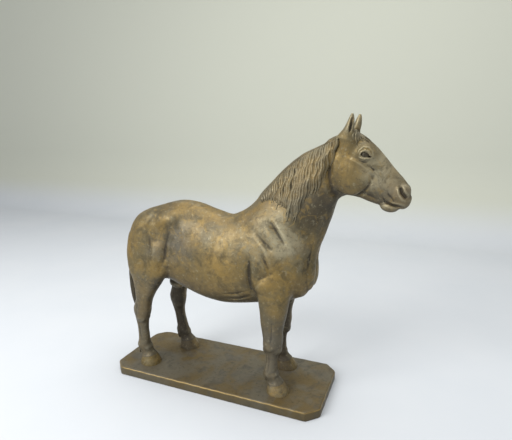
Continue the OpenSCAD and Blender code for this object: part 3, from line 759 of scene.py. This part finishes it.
def comb_tail(clay, horse, seed):
    """Strands laid round a core that follows the tail's sections."""
    dice = np.random.default_rng(seed)
    clay.loft(TAIL_ROWS, blend=1)
    clay.value += 1.6
    rows = through(TAIL_ROWS, 6)
    strands = 24
    for i in range(strands):
        a = 2 * math.pi * i / strands
        v = np.linspace(0, dice.uniform(0.86, 1.0), 16)
        at = v * (len(rows) - 1)
        row = np.stack([np.interp(at, range(len(rows)), rows[:, k]) for k in range(5)], 1)
        wobble = a + 0.16 * np.sin(v * 16 + 0.9 * i)
        mx, mz = (row[:, 0] + row[:, 2]) / 2, (row[:, 1] + row[:, 3]) / 2
        ux, uz = (row[:, 0] - row[:, 2]) / 2, (row[:, 1] - row[:, 3]) / 2
        k = 0.86 - 0.05 * np.sin(v * 11 + 1.7 * i)
        round_x, round_y = k * np.cos(wobble), k * np.sin(wobble)
        path = np.stack([mx + ux * round_x, row[:, 4] * round_y, mz + uz * round_x], 1)
        radii = 1.6 * dice.uniform(0.8, 1.2) * np.clip(1.1 - v**4, 0.3, 1) * np.clip(0.3 + v * 6, 0, 1)
        clay.rope(path, radii, 0.5, side=1)
    clay.value = np.maximum(clay.value, -(horse.value + 2.0))
    return clay


# ---------- materials ----------

class Sums:
    """A shader value that takes part in Python sums."""

    def __init__(self, nodes, socket):
        self.nodes, self.socket = nodes, socket

    def maths(self, operation, *others):
        return self.nodes.add("ShaderNodeMath", {"operation": operation}, [self, *others])

    def __add__(self, other):
        return self.maths("ADD", other)

    def __radd__(self, other):
        return self.maths("ADD", other)

    def __mul__(self, other):
        return self.maths("MULTIPLY", other)

    def __rmul__(self, other):
        return self.maths("MULTIPLY", other)

    def __sub__(self, other):
        return self.maths("SUBTRACT", other)

    def __rsub__(self, other):
        return self.nodes.add("ShaderNodeMath", {"operation": "SUBTRACT"}, [other, self])

    def between(self, low, high):
        """This value carried smoothly from the range low to high to 0 to 1, and held at its ends."""
        return self.nodes.add("ShaderNodeMapRange", {"interpolation_type": "SMOOTHSTEP"}, [self, low, high])


class Nodes:
    """A new material and the nodes in it."""

    def __init__(self, name):
        self.material = bpy.data.materials.new(name)
        self.material.use_nodes = True
        self.tree = self.material.node_tree
        self.shader = self.tree.nodes["Principled BSDF"]

    def add(self, kind, settings, values, out=0):
        """A node of one kind, with its settings, then the values or links of its sockets."""
        node = self.tree.nodes.new(kind)
        for key, value in settings.items():
            setattr(node, key, value)
        items = values.items() if isinstance(values, dict) else enumerate(values)
        for key, value in items:
            self.put(node.inputs[key], value)
        return Sums(self, node.outputs[out])

    def put(self, target, value):
        if isinstance(value, Sums):
            self.tree.links.new(value.socket, target)
        elif target.type == "RGBA" and len(value) == 3:
            target.default_value = (*value, 1)
        else:
            target.default_value = value

    def mix(self, mask, a, b):
        """Colour a, turning into b as the mask goes to 1."""
        return self.add("ShaderNodeMix", {"data_type": "RGBA"}, {"Factor": mask, 6: a, 7: b}, out=2)

    def place(self):
        return self.add("ShaderNodeTexCoord", {}, [], out="Object")

    def grain(self, at, scale, detail=3.0, rough=0.55, warp=0.0):
        """Cloudy noise from 0 to 1."""
        values = {"Vector": at, "Scale": scale, "Detail": detail, "Roughness": rough, "Distortion": warp}
        return self.add("ShaderNodeTexNoise", {}, values, out="Fac")

    def attribute(self, name):
        return self.add("ShaderNodeAttribute", {"attribute_name": name}, [], out="Fac")

    def axis(self, vector, letter):
        return self.add("ShaderNodeSeparateXYZ", {}, [vector], out=letter)

    def facing(self, letter):
        return self.axis(self.add("ShaderNodeNewGeometry", {}, [], out="Normal"), letter)

    def finish(self, colour, rough, metal, height=None, strength=0.3, distance=0.0004):
        self.put(self.shader.inputs["Base Color"], colour)
        self.put(self.shader.inputs["Roughness"], rough)
        self.put(self.shader.inputs["Metallic"], metal)
        if height is not None:
            values = {"Strength": strength, "Distance": distance, "Height": height}
            self.put(self.shader.inputs["Normal"], self.add("ShaderNodeBump", {}, values))
        return self.material


# Where the colour differs from place to place on both sides of the horse: middle (x, z) and radius in
# the side view, colour, and how far the colour goes towards it. The ochre zones are patina; the rubbed
# zones on the shoulder, ribs and face are painted highlights, and the recess and brown zones on the
# croup, neck, elbow, belly and jaw are painted shade.
ZONES = [
    ((92, 250), 52, "rubbed_and_highlight", 0.34), ((28, 236), 44, "rubbed_and_highlight", 0.12), ((-108, 270), 42, "brown", 0.7),
    ((116, 246), 28, "rubbed_and_highlight", 0.5), ((-85, 276), 40, "recess_and_shade", 0.36), ((179, 394), 17, "recess_and_shade", 0.5),
    ((222, 338), 30, "rubbed_and_highlight", 0.6), ((196, 370), 17, "brown", 0.6),
    ((20, 198), 40, "ochre", 0.6), ((85, 180), 17, "ochre", 0.35),
    ((-90, 188), 22, "ochre", 0.5), ((-142, 232), 34, "ochre", 0.45), ((186, 338), 22, "ochre", 0.35),
    ((100, 148), 14, "ochre", 0.4), ((92, 84), 13, "ochre", 0.6), ((-50, 232), 34, "grey", 0.5),
    ((142, 268), 34, "brown", 0.6), ((145, 280), 34, "recess_and_shade", 0.6),
    ((160, 302), 22, "recess_and_shade", 0.5), ((60, 185), 14, "recess_and_shade", 0.35),
    ((-84, 154), 22, "recess_and_shade", 0.7), ((216, 304), 16, "recess_and_shade", 0.3)]


def bronze(name, looks, shade=1.0, dark=0.0, cavity=0.8, rubbed_and_highlight=0.7, legs=0.6, groove=1.0):
    """Patinated bronze: brown over gold, darker in the hollows, lighter and rubbed on the ridges, with
    painted shade on faces turned downwards and on faces turned to the inside of the lower legs, a little
    painted highlight on faces turned upwards, and painted highlights and painted shade in some zones."""
    n = Nodes(name)
    at = n.place()
    patches = n.grain(at, 21, 6, 0.66, 0.7)
    blotch = n.grain(at, 52, 5, 0.66, 0.5)
    bloom = n.grain(at, 9, 3, 0.5, 0.3)
    speck = n.grain(at, 210, 4, 0.65)
    fine = n.grain(at, 120, 4, 0.7, 0.8)
    streak = n.grain(at, 80, 3, 0.6, 1.2)
    hollow = n.attribute("hollow")
    dip = n.attribute("dip")
    up = n.facing("Z")
    height = n.axis(at, "Z")
    # painted shade on faces turned towards the midline below about 0.15 m, where the legs shade each other
    inward = (n.facing("Y") * n.axis(at, "Y") * -45.0).between(0.05, 1.0) * (1 - height.between(0.13, 0.17))

    def tone(colour, by=1.0):
        return tuple(min(1.0, c * shade * by) for c in colour)

    colour = n.mix(patches.between(0.38, 0.62) * 0.9, tone(looks.brown), tone(looks.ochre, 0.9))
    colour = n.mix(bloom.between(0.46, 0.7) * 0.5, colour, tone(looks.grey))
    flat = n.add("ShaderNodeVectorMath", {"operation": "MULTIPLY"}, [at, (1, 0, 1)])
    # zones of patina, painted highlight and painted shade, as listed in ZONES
    for (x, z), radius, paint, amount in ZONES:
        middle = (x * MM, 0, z * MM)
        away = n.add("ShaderNodeVectorMath", {"operation": "DISTANCE"}, [flat, middle], out="Value")
        mask = 1 - (away + (patches - 0.5) * (radius * 1.3 * MM)).between(0.25 * radius * MM, radius * MM)
        colour = n.mix(mask * amount, colour, tone(getattr(looks, paint)))
    colour = n.mix(blotch.between(0.48, 0.66) * 0.6, colour, tone(looks.brown, 0.5))
    colour = n.mix(streak.between(0.52, 0.7) * 0.5, colour, tone(looks.ochre, 1.15))
    colour = n.mix(fine.between(0.52, 0.68) * 0.4, colour, tone(looks.recess_and_shade, 1.8))
    # rubbed bronze on the ridges, plus a little painted highlight on faces turned upwards
    worn = (hollow * -0.7 + dip * -0.5 + up * 0.12 + blotch * 0.45 - 0.25).between(0.1, 0.75)
    colour = n.mix(worn * rubbed_and_highlight, colour, tone(looks.rubbed_and_highlight))
    deep = ((hollow * 0.9 + dip * 0.8) * groove + speck * 0.3 + blotch * 0.15 - 0.28).between(0.05, 0.8)
    colour = n.mix(deep * cavity, colour, tone(looks.recess_and_shade))
    leg = 1 - (height + patches * 0.05).between(0.12, 0.2)
    colour = n.mix(leg * legs, colour, tone(looks.grey, 0.62))
    # painted shade on faces turned downwards
    low = (up * -1.0 + patches * 0.5 - 0.2).between(0.0, 0.9)
    colour = n.mix(low * 0.55, colour, tone(looks.grey, 0.5))
    # painted shade on the inside faces of the lower legs
    colour = n.mix(inward * 0.75, colour, tone(looks.recess_and_shade, 1.2))
    colour = n.mix(speck.between(0.56, 0.72) * 0.5, colour, tone(looks.recess_and_shade, 1.3))
    colour = n.mix((1 - speck.between(0.3, 0.44)) * 0.35, colour, tone(looks.rubbed_and_highlight, 0.8))
    if dark:
        colour = n.mix(dark, colour, tone(looks.recess_and_shade, 0.8))
    rough = 0.5 + deep * 0.22 - worn * 0.06 + (speck - 0.5) * 0.25 + inward * 0.15
    height = speck * 0.5 + n.grain(at, 520, 2, 0.6) * 0.25 + blotch * 1.2
    return n.finish(colour, rough, 0.5, height, 0.6, 0.0008)


def plinth_bronze(name, looks):
    """Darker olive-brown bronze with a golden edge, from how near a point is to the plinth's top edge,
    and painted shade on the plinth's sides.
    """
    n = Nodes(name)
    at = n.place()
    patches = n.grain(at, 14, 5, 0.6, 0.8)
    blotch = n.grain(at, 55, 4, 0.6, 0.4)
    speck = n.grain(at, 240, 4, 0.65)
    # the plinth's side faces: they get painted shade, and the golden edge near their top
    side = 1 - n.facing("Z").between(0.6, 0.97)
    edge = n.axis(at, "Z").between(0.0106, 0.0128) * side
    olive = tuple(a * 0.35 + b * 0.65 for a, b in zip(looks.brown, looks.grey))
    colour = n.mix(patches.between(0.4, 0.64) * 0.8, olive, tuple(c * 0.55 for c in looks.ochre))
    colour = n.mix(blotch.between(0.48, 0.7) * 0.6, colour, tuple(c * 0.42 for c in looks.grey))
    colour = n.mix(n.grain(at, 30, 5, 0.65).between(0.52, 0.66) * 0.4, colour, looks.grey)
    colour = n.mix(speck.between(0.54, 0.74) * 0.5, colour, looks.recess_and_shade)
    # painted shade on the plinth's sides
    colour = n.mix(side * 0.5, colour, tuple(c * 0.6 for c in looks.brown))
    worn = (edge * (0.25 + blotch)).between(0.2, 0.9) * 0.7
    colour = n.mix(worn, colour, tuple(c * 1.3 for c in looks.ochre))
    rough = 0.5 + (speck - 0.5) * 0.3 - edge * 0.1
    return n.finish(colour, rough, 0.45, speck * 0.5 + blotch + patches, 0.55, 0.0009)


def plain_metal(name, colour, rough):
    n = Nodes(name)
    at = n.place()
    wear = n.grain(at, 900, 3, 0.6)
    return n.finish(n.mix(wear, tuple(c * 0.8 for c in colour), colour), rough + (wear - 0.5) * 0.15, 1.0,
                    wear, 0.15, 0.0001)


# ---------- what a user sets ----------

class HorseLooks(bpy.types.PropertyGroup):
    brown: FloatVectorProperty(name="Patina", description="Main brown of the patina", subtype="COLOR",
                               default=(0.130, 0.101, 0.045))
    ochre: FloatVectorProperty(name="Ochre", description="Golden patches in the patina", subtype="COLOR",
                               default=(0.250, 0.164, 0.046))
    # grey-violet bloom of the patina; darkened, it is also the painted shade on faces turned downwards
    grey: FloatVectorProperty(name="Grey", description="Grey-violet bloom on the patina", subtype="COLOR",
                              default=(0.145, 0.132, 0.105))
    # rubbed bronze on the ridges, also used as painted highlight in the zones on the shoulder, ribs and face,
    # and on faces turned upwards
    rubbed_and_highlight: FloatVectorProperty(name="Rubbed", description="Bronze where the patina is rubbed thin",
                                subtype="COLOR", default=(0.430, 0.380, 0.245))
    # dark patina in the hollows, also used as painted shade in the zones on the croup, neck, elbow, belly and
    # jaw, and on the inside faces of the lower legs
    recess_and_shade: FloatVectorProperty(name="Recess", description="Dark patina left in the hollows", subtype="COLOR",
                                default=(0.032, 0.027, 0.020))


class HorseSizes(bpy.types.PropertyGroup):
    body_step: FloatProperty(name="Body detail", description="Spacing of the body's mesh, in millimetres",
                             default=1.25, min=0.9, max=3.0)
    leg_step: FloatProperty(name="Leg detail", description="Spacing of the legs' mesh, in millimetres",
                            default=0.85, min=0.6, max=2.0)
    hair_step: FloatProperty(name="Hair detail", description="Spacing of the hair's mesh, in millimetres",
                             default=0.7, min=0.5, max=1.5)
    mane_locks: IntProperty(name="Mane locks", description="Locks in each layer of the mane",
                            default=25, min=12, max=40)
    head_step: FloatProperty(name="Head detail", description="Spacing of the head's mesh, in millimetres",
                             default=0.6, min=0.45, max=1.5)


def sizes():
    return bpy.context.scene.horse_sizes


def looks():
    return bpy.context.scene.horse_looks


def made(name, build):
    """The material of that name, built the first time it is asked for."""
    return bpy.data.materials.get(name) or build(name)


def hair_bronze():
    return made("hair bronze", lambda name: bronze(name, looks(), 0.62, cavity=1.15, rubbed_and_highlight=0.42, groove=3.0))


def tail_bronze():
    return made("tail bronze", lambda name: bronze(name, looks(), 0.5, dark=0.4, rubbed_and_highlight=0.3))


def hoof_bronze():
    return made("hoof bronze", lambda name: bronze(name, looks(), 1.15, legs=0))


def head_bronze():
    return made("head bronze", lambda name: bronze(name, looks(), rubbed_and_highlight=0.45))


def body_bronze():
    return made("body bronze", lambda name: bronze(name, looks()))


class HORSE_OT_trunk(bpy.types.Operator):
    """Models the barrel, shoulders and haunches, down to the leg joints"""
    bl_idname = "horse.trunk"
    bl_label = "Trunk"

    def execute(self, context):
        clay = sculpt_horse(Clay((-178, -60, 120), (160, 60, 302), sizes().body_step))
        piece_from(clay, "trunk_casting", [half_plane(NECK_CUT, False), level(LEG_CUT, True)],
                   ["trunk"], body_bronze())
        return {"FINISHED"}


class HORSE_OT_neck(bpy.types.Operator):
    """Models the neck between its two joints"""
    bl_idname = "horse.neck"
    bl_label = "Neck"

    def execute(self, context):
        clay = sculpt_horse(Clay((40, -46, 208), (184, 46, 386), sizes().leg_step))
        piece_from(clay, "neck_casting", [half_plane(NECK_CUT, True), half_plane(HEAD_CUT, False)],
                   ["neck"], body_bronze())
        return {"FINISHED"}


class HORSE_OT_head(bpy.types.Operator):
    """Models the head, and the ears above the poll"""
    bl_idname = "horse.head"
    bl_label = "Head and ears"

    def execute(self, context):
        clay = sculpt_horse(Clay((144, -28, 278), (268, 28, 410), sizes().head_step))
        piece_from(clay, "head_casting", [half_plane(HEAD_CUT, True), level(EAR_CUT, False)],
                   ["head"], head_bronze())
        for name, low, high in (("ear_left", -2, 26), ("ear_right", -26, 2)):
            clay = sculpt_horse(Clay((162, low, 374), (200, high, 410), sizes().head_step * 0.75))
            piece_from(clay, name + "_casting", [level(EAR_CUT, True)], [name], head_bronze())
        return {"FINISHED"}


class HORSE_OT_eyes(bpy.types.Operator):
    """Sets the eyeballs behind their lids"""
    bl_idname = "horse.eyes"
    bl_label = "Eyes"

    def execute(self, context):
        for name, side in (("eye_left", 1), ("eye_right", -1)):
            bm = bmesh.new()
            bmesh.ops.create_icosphere(bm, subdivisions=4, radius=EYE_RADIUS * MM)
            middle = Vector((EYE_MIDDLE[0], side * EYE_MIDDLE[1], EYE_MIDDLE[2])) * MM
            sight = Vector((0.25, side, -0.05)).normalized()
            for v in bm.verts:
                # a shallow pupil is cut into the ball
                out = v.co.normalized().dot(sight)
                if out > PUPIL_EDGE:
                    v.co *= 1 - PUPIL_DEPTH * (out - PUPIL_EDGE) / (1 - PUPIL_EDGE)
                v.co += middle
            mesh = bpy.data.meshes.new(name + "_ball")
            bm.to_mesh(mesh)
            bm.free()
            for p in mesh.polygons:
                p.use_smooth = True
            mesh.materials.append(made("eye bronze", lambda m: bronze(m, looks(), 0.55, dark=0.6)))
            ball = bpy.data.objects.new(name + "_ball", mesh)
            context.scene.collection.objects.link(ball)
            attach(ball, "root")
            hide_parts(name)
        return {"FINISHED"}


class HORSE_OT_hair(bpy.types.Operator):
    """Combs the mane, the forelock and the tail"""
    bl_idname = "horse.hair"
    bl_label = "Mane, forelock and tail"

    def execute(self, context):
        step = sizes().hair_step
        for name, low, high, comb, seed, material in (
                ("mane", (48, -46, 258), (176, 10, 390), comb_mane, 11, hair_bronze()),
                ("forelock", (168, -21, 352), (214, 21, 394), comb_forelock, 12, hair_bronze()),
                ("tail", (-184, -16, 86), (-136, 16, 258), comb_tail, 13, tail_bronze())):
            clay = comb(Clay(low, high, step), sculpt_horse(Clay(low, high, step)), seed)
            piece_from(clay, name + "_casting", [], [name], material)
        return {"FINISHED"}


def plinth_ring(inset, z, wobble=0.0):
    """Points round the plinth, `inset` mm inside its outline, with its corners rounded."""
    _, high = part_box("base_plate")
    half_length, half_width = high.x / MM, high.y / MM
    x, y = half_length - inset, half_width - inset
    c = PLINTH_CLIP - inset * (2 - math.sqrt(2))
    corners = [(-x, -y + c), (-x + c, -y), (x - c, -y), (x, -y + c),
               (x, y - c), (x - c, y), (-x + c, y), (-x, y - c)]
    rounding = [CORNER_ROUND] * 6 + [WORN_ROUND] * 2
    out = []
    for i, p in enumerate(corners):
        then = (i + 1) % 8
        before, p, after = Vector(corners[i - 1]), Vector(p), Vector(corners[then])
        a, b = p + (before - p).normalized() * rounding[i], p + (after - p).normalized() * rounding[i]
        for k in range(5):
            t = k / 4
            out.append(a * (1 - t)**2 + p * 2 * t * (1 - t) + b * t * t)
        end = after + (p - after).normalized() * rounding[then]
        many = EDGE_STEPS[then % 4]
        out += [b + (end - b) * k / many for k in range(1, many)]
    shaped = []
    for p in out:
        inward = wobble * (0.5 + 0.5 * math.sin(p.x * 0.31 + 1.3 * math.sin(p.x * 0.083) + p.y * 0.27))
        shaped.append((p.x * (1 - inward / half_length) * MM, p.y * (1 - inward / half_width) * MM, z * MM))
    return shaped


def tray_half(side):
    """The hollow on one side of the cross rib, under the plinth's top plate."""
    rib = side * RIB_HALF * MM
    ring = [p for p in plinth_ring(TRAY_WALL, -1) if side * p[0] > RIB_HALF * MM]
    ring = sorted(ring, key=lambda p: math.atan2(p[1], side * p[0]))
    ring = [(rib, ring[0][1], -MM)] + ring + [(rib, ring[-1][1], -MM)]
    bm = bmesh.new()
    base = bm.faces.new([bm.verts.new(p) for p in ring])
    moved = bmesh.ops.extrude_face_region(bm, geom=[base])["geom"]
    moved = [v for v in moved if isinstance(v, bmesh.types.BMVert)]
    bmesh.ops.translate(bm, vec=(0, 0, (TRAY_ROOF + 1) * MM), verts=moved)
    return bm


def stud_holes():
    """A round cutter at each of the four studs."""
    co = np.array([v.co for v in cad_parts["mounting_studs"].data.vertices])
    rough = 50      # a stud is more than 1/50 m from its neighbours
    for a, b in {(round(x * rough), round(y * rough)) for x, y, _ in co}:
        near = co[np.hypot(co[:, 0] - a / rough, co[:, 1] - b / rough) < 1 / rough]
        middle = (near.min(0) + near.max(0)) / 2
        bm = bmesh.new()
        bmesh.ops.create_cone(bm, cap_ends=True, segments=32, radius1=STUD_HOLE * MM, radius2=STUD_HOLE * MM,
                              depth=40 * MM)
        bmesh.ops.translate(bm, vec=(middle[0], middle[1], 0), verts=bm.verts)
        yield bm


class HORSE_OT_plinth(bpy.types.Operator):
    """Casts the plinth: a tray with clipped corners, a worn edge and a cross rib"""
    bl_idname = "horse.plinth"
    bl_label = "Plinth"

    def execute(self, context):
        bm = bmesh.new()
        # inset, height and unevenness of each ring, from the underside up over the worn edge
        rings = [(0.8, 0, 0), (0.1, 0.9, 0.2), (0, 3, 0.5), (0.1, 10.9, 0.6),
                 (0.5, 12.3, 0.5), (1.2, 13.3, 0.4), (2.4, 13.85, 0.2), (4.0, PLINTH_TOP, 0)]
        loops = [[bm.verts.new(p) for p in plinth_ring(*ring)] for ring in rings]
        for a, b in zip(loops[:-1], loops[1:]):
            for i in range(len(a)):
                j = (i + 1) % len(a)
                bm.faces.new((a[i], a[j], b[j], b[i]))
        bm.faces.new(loops[-1])
        bm.faces.new(loops[0][::-1])
        mesh = bpy.data.meshes.new("plinth_casting")
        bm.to_mesh(mesh)
        bm.free()
        plinth = bpy.data.objects.new("plinth_casting", mesh)
        context.scene.collection.objects.link(plinth)
        for bm in (tray_half(-1), tray_half(1), *stud_holes()):
            bmesh.ops.recalc_face_normals(bm, faces=bm.faces)
            cutter_mesh = bpy.data.meshes.new("cutter")
            bm.to_mesh(cutter_mesh)
            bm.free()
            cutter = bpy.data.objects.new("cutter", cutter_mesh)
            context.scene.collection.objects.link(cutter)
            cut = plinth.modifiers.new("cut", "BOOLEAN")
            cut.operation, cut.solver, cut.object = "DIFFERENCE", "EXACT", cutter
            context.view_layer.update()
            shaped = plinth.evaluated_get(context.evaluated_depsgraph_get())
            shaped = bpy.data.meshes.new_from_object(shaped)
            plinth.modifiers.clear()
            plinth.data = shaped
            bpy.data.objects.remove(cutter)
        plinth.data.name = "plinth_casting"
        for p in plinth.data.polygons:
            p.use_smooth = True
        plinth.data.set_sharp_from_angle(angle=math.radians(38))
        plinth.data.materials.clear()
        plinth.data.materials.append(made("plinth bronze", lambda m: plinth_bronze(m, looks())))
        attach(plinth, "root")
        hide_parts("base_plate")
        return {"FINISHED"}


class HORSE_OT_fasteners(bpy.types.Operator):
    """Finishes the studs, washers, nuts and pins"""
    bl_idname = "horse.fasteners"
    bl_label = "Fasteners"

    def execute(self, context):
        steel = plain_metal("plain steel", (0.55, 0.54, 0.52), 0.38)
        for name in ("mounting_studs", "stud_washers", "stud_nuts"):
            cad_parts[name].material_slots[0].material = steel
        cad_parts["section_pins"].material_slots[0].material = body_bronze()
        return {"FINISHED"}


class HORSE_OT_legs(bpy.types.Operator):
    """Models the four legs and their hooves"""
    bl_idname = "horse.legs"
    bl_label = "Legs and hooves"

    def execute(self, context):
        for name, hoof, rows, side in (
                ("foreleg_right", "hoof_front_right", FORELEG_ROWS, -1),
                ("foreleg_left", "hoof_front_left", LEFT_FORELEG_ROWS, 1),
                ("hindleg_right", "hoof_hind_right", HINDLEG_ROWS, -1),
                ("hindleg_left", "hoof_hind_left", LEFT_HINDLEG_ROWS, 1)):
            coronet = next(row for row in rows if row[1] == 30)
            line = ((coronet[2], coronet[3]), (coronet[0], coronet[1]))
            top = LEG_CUT + 9
            x = [row[n] for row in rows for n in (0, 2) if row[1] < top]
            y = sorted((side * 14, side * 58))
            low = (min(x) - 8, y[0], PLINTH_TOP - 6)
            clay = sculpt_horse(Clay(low, (max(x) + 8, y[1], top), sizes().leg_step))
            piece_from(clay, name + "_casting", [level(LEG_CUT, False), half_plane(line, True)],
                       [name], body_bronze())
            clay = sculpt_horse(Clay(low, (max(x) + 8, y[1], 41), sizes().leg_step))
            piece_from(clay, hoof + "_casting", [half_plane(line, False), level(PLINTH_TOP, True)],
                       [hoof], hoof_bronze())
        return {"FINISHED"}


class HORSE_OT_stage(bpy.types.Operator):
    """Sets the floor, the wall, the lights and the camera"""
    bl_idname = "horse.stage"
    bl_label = "Stage"

    def execute(self, context):
        scene = context.scene
        n = Nodes("pale floor")
        at = n.place()
        cloth = n.mix(n.grain(at, 6, 3), (0.57, 0.60, 0.64), (0.62, 0.64, 0.67))
        colour = n.mix(n.axis(at, "Z").between(0.0, 0.16), cloth, (0.55, 0.56, 0.48))
        n.finish(colour, 0.9, 0.0)
        # a sheet that runs under the statue and bends up into the wall behind it, in metres
        front, back, height, bend, half_width = -1.6, 1.3, 1.4, 0.3, 2.5
        angles = [math.radians(a) for a in range(0, 91, 10)]
        curve = [(back - bend + bend * math.sin(a), bend - bend * math.cos(a)) for a in angles]
        bm = bmesh.new()
        rows = [[bm.verts.new((x, y, z)) for x in (-half_width, half_width)]
                for y, z in [(front, 0), *curve, (back, height)]]
        for a, b in zip(rows[:-1], rows[1:]):
            bm.faces.new((a[0], a[1], b[1], b[0]))
        mesh = bpy.data.meshes.new("backdrop")
        bm.to_mesh(mesh)
        bm.free()
        for p in mesh.polygons:
            p.use_smooth = True
        mesh.materials.append(n.material)
        floor = bpy.data.objects.new("backdrop", mesh)
        scene.collection.objects.link(floor)
        world = bpy.data.worlds.new("room light")
        scene.world = world
        scene.view_settings.view_transform = "Standard"
        world.use_nodes = True
        background = world.node_tree.nodes["Background"]
        background.inputs["Color"].default_value = (0.95, 0.97, 1.0, 1)
        background.inputs["Strength"].default_value = 0.6
        for name, place, power, size, colour in (
                ("ceiling light", (0.0, 0.1, 1.5), 14, 1.2, (1.0, 0.99, 0.95)),
                ("window light", (-0.75, -1.25, 1.1), 23, 0.9, (1.0, 1.0, 0.98))):
            lamp = bpy.data.lights.new(name, "AREA")
            lamp.energy, lamp.size, lamp.color = power, size, colour
            o = bpy.data.objects.new(name, lamp)
            o.location = place
            aim = Vector((0.03, 0, 0.2)) - Vector(place)
            o.rotation_euler = aim.to_track_quat("-Z", "Y").to_euler()
            scene.collection.objects.link(o)
        camera = bpy.data.cameras.new("camera")
        camera.sensor_width = 36.0
        camera.lens = 28.125
        camera.shift_x, camera.shift_y = 0.001953125, 0.09375
        o = bpy.data.objects.new("camera", camera)
        o.location = (0.268, -0.523, 0.375)
        looking_down, turned = 18.032, 22.206
        o.rotation_euler = (math.radians(90 - looking_down), 0, math.radians(turned))
        scene.collection.objects.link(o)
        scene.camera = o
        return {"FINISHED"}


OPERATORS = [HORSE_OT_stage, HORSE_OT_plinth, HORSE_OT_trunk, HORSE_OT_neck, HORSE_OT_head, HORSE_OT_eyes,
             HORSE_OT_hair, HORSE_OT_legs, HORSE_OT_fasteners]


class HORSE_PT_sidebar(bpy.types.Panel):
    bl_label = "Bronze Horse"
    bl_idname = "HORSE_PT_sidebar"
    bl_space_type = "VIEW_3D"
    bl_region_type = "UI"
    bl_category = "Bronze Horse"

    def draw(self, context):
        for group in (context.scene.horse_looks, context.scene.horse_sizes):
            for key in group.__annotations__:
                self.layout.prop(group, key)
        for operator in OPERATORS:
            self.layout.operator(operator.bl_idname)


CLASSES = [HorseLooks, HorseSizes, *OPERATORS, HORSE_PT_sidebar]


def register():
    for c in CLASSES:
        bpy.utils.register_class(c)
    bpy.types.Scene.horse_looks = PointerProperty(type=HorseLooks)
    bpy.types.Scene.horse_sizes = PointerProperty(type=HorseSizes)


def unregister():
    del bpy.types.Scene.horse_looks, bpy.types.Scene.horse_sizes
    for c in reversed(CLASSES):
        bpy.utils.unregister_class(c)


def main():
    register()
    for operator in OPERATORS:
        group, name = operator.bl_idname.split(".")
        getattr(getattr(bpy.ops, group), name)()


if __name__ == "__main__":
    main()
